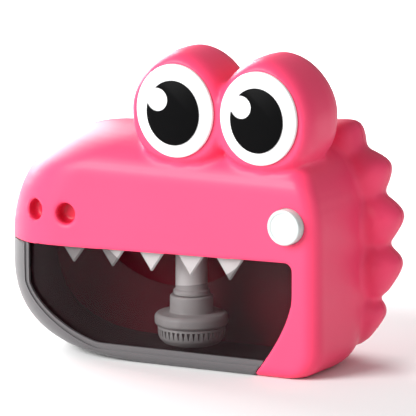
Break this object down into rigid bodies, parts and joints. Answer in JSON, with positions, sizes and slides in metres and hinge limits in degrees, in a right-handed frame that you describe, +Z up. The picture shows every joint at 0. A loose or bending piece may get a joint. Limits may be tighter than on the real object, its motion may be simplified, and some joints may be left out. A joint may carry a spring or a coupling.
{
  "type": "bubble machine",
  "caption": "Bath bubble machine shaped as a dinosaur head: clear-fronted lower jaw tank, hanging foam nozzle, push button, battery bay and suction cups at the back.",
  "frame": {"origin": "a point of the flat underside, under the foam nozzle's side of the lower jaw, midway in depth", "axes": "+X from the snout to the nape, -Y towards the face with the eyes, +Z up"},
  "size_m": [0.2423, 0.1092, 0.1906],
  "materials": {
    "pink_casing": "satin moulded ABS, hot pink",
    "jaw_grey": "smooth light grey moulded plastic",
    "smoked_tank": "clear smoke-tinted plastic, polished",
    "liner_maroon": "dark maroon moulded plastic",
    "tooth_grey_white": "satin grey-white plastic",
    "eye_white": "satin white plastic",
    "black_gloss": "black printed plate, satin",
    "black_matte": "black moulded plastic",
    "nozzle_grey": "light grey moulded plastic",
    "foam_mesh": "fine white nylon mesh",
    "seal_rubber": "soft black seal rubber",
    "zinc_steel": "zinc-plated steel",
    "board_green": "green solder mask",
    "battery_skin": "plain battery sleeve, no marks",
    "suction_vinyl": "translucent soft vinyl"
  },
  "bodies": {
    "root": {"front_shell": "pink_casing", "rear_shell": "pink_casing", "jaw_shell": "jaw_grey", "tank": "smoked_tank", "mouth_liner": "liner_maroon", "teeth_strip": "tooth_grey_white", "eye_white_left": "eye_white", "eye_white_right": "eye_white", "eye_pupil_left": "black_gloss", "eye_pupil_right": "black_gloss", "button_seal": "seal_rubber", "cover_gasket": "seal_rubber", "tact_switch": "black_matte", "speaker": "black_matte", "battery_tray": "black_matte", "blower_housing": "black_matte", "blower_cover": "black_matte", "control_board": "board_green", "air_tube": "nozzle_grey", "motor": "zinc_steel", "contact_left": "zinc_steel", "contact_right": "zinc_steel", "battery_1": "battery_skin", "battery_2": "battery_skin", "battery_3": "battery_skin", "case_screw_1": "zinc_steel", "suction_cup_1": "suction_vinyl", "case_screw_2": "zinc_steel", "suction_cup_2": "suction_vinyl", "case_screw_3": "zinc_steel", "suction_cup_3": "suction_vinyl", "case_screw_4": "zinc_steel", "suction_cup_4": "suction_vinyl"},
    "button": {"power_button": "eye_white", "button_spring": "zinc_steel"},
    "rotor": {"impeller": "nozzle_grey"},
    "cover": {"battery_cover": "pink_casing", "cover_screw": "zinc_steel"},
    "foam_head": {"foam_collar": "nozzle_grey", "foam_mesh": "foam_mesh", "foam_bowl": "nozzle_grey"}
  },
  "joints": [
    {"name": "button_press", "type": "slide", "parent": "root", "child": "button", "axis": [0, 1, 0], "range_m": [0, 0.0015], "stiffness_N_per_m": 600, "springref_m": -0.0005},
    {"name": "impeller_spin", "type": "hinge", "parent": "root", "child": "rotor", "pos_m": [0.0047, -0.0094, 0.09], "axis": [0, 0, 1], "continuous": true},
    {"name": "battery_cover_lift", "type": "slide", "parent": "root", "child": "cover", "axis": [0, 1, 0], "range_m": [0, 0.03]},
    {"name": "foam_head_twist", "type": "hinge", "parent": "root", "child": "foam_head", "pos_m": [0.0047, -0.0094, 0.03], "axis": [0, 0, 1], "range_deg": [0, 40]}
  ]
}
